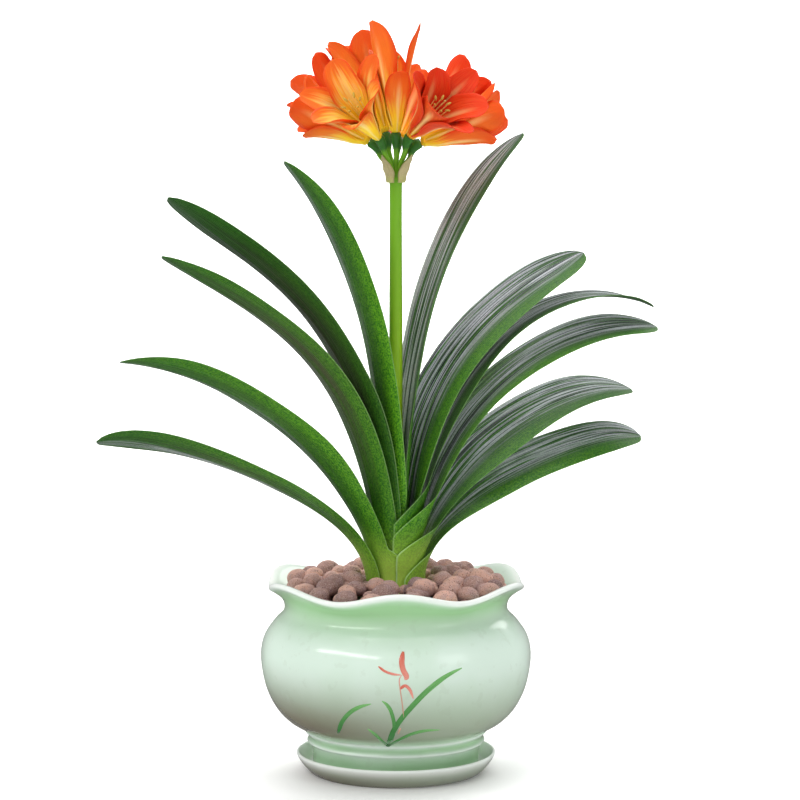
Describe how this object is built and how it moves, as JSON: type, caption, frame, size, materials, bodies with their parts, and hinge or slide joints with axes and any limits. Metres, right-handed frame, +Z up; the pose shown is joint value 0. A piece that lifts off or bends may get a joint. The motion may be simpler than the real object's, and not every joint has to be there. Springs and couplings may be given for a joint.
{
  "type": "potted flowering plant",
  "caption": "Strap-leaved clivia with a tall stalk of orange funnel flowers, planted in clay pebbles in a round scallop-rimmed glazed pot on a saucer.",
  "frame": {"origin": "centre of the saucer's flat underside", "axes": "+Z up along the pot's axis, -Y the front with the painted sprig, +X to the right seen from the front"},
  "size_m": [0.4037, 0.221, 0.5434],
  "materials": {
    "pot_glaze": "gloss",
    "saucer_glaze": "gloss",
    "potting_mix": "matte",
    "clay_pebbles": "matte",
    "rootstock": "matte",
    "leaf_green": "satin",
    "stalk_green": "satin",
    "bract_tan": "matte",
    "petal_orange": "satin",
    "stamen_yellow": "matte"
  },
  "bodies": {
    "root": {"saucer": "saucer_glaze", "pot": "pot_glaze", "potting_mix": "potting_mix", "clay_pebbles": "clay_pebbles", "rootstock": "rootstock", "scape": "stalk_green", "bract_left": "bract_tan", "bract_right": "bract_tan", "leaf_right_1": "leaf_green", "leaf_right_2": "leaf_green", "leaf_right_3": "leaf_green", "leaf_right_4": "leaf_green", "leaf_right_5": "leaf_green", "leaf_right_6": "leaf_green", "leaf_left_1": "leaf_green", "leaf_left_2": "leaf_green", "leaf_left_3": "leaf_green", "leaf_left_4": "leaf_green", "leaf_left_5": "leaf_green", "bloom_1": "petal_orange", "bloom_1_stamens": "stamen_yellow", "bloom_2": "petal_orange", "bloom_2_stamens": "stamen_yellow", "bloom_3": "petal_orange", "bloom_3_stamens": "stamen_yellow", "bloom_4": "petal_orange", "bloom_4_stamens": "stamen_yellow", "bloom_5": "petal_orange", "bloom_5_stamens": "stamen_yellow", "bloom_6": "petal_orange", "bloom_6_stamens": "stamen_yellow", "bloom_7": "petal_orange", "bloom_7_stamens": "stamen_yellow", "bloom_8": "petal_orange", "bloom_8_stamens": "stamen_yellow", "bloom_9": "petal_orange", "bloom_9_stamens": "stamen_yellow"}
  },
  "joints": []
}
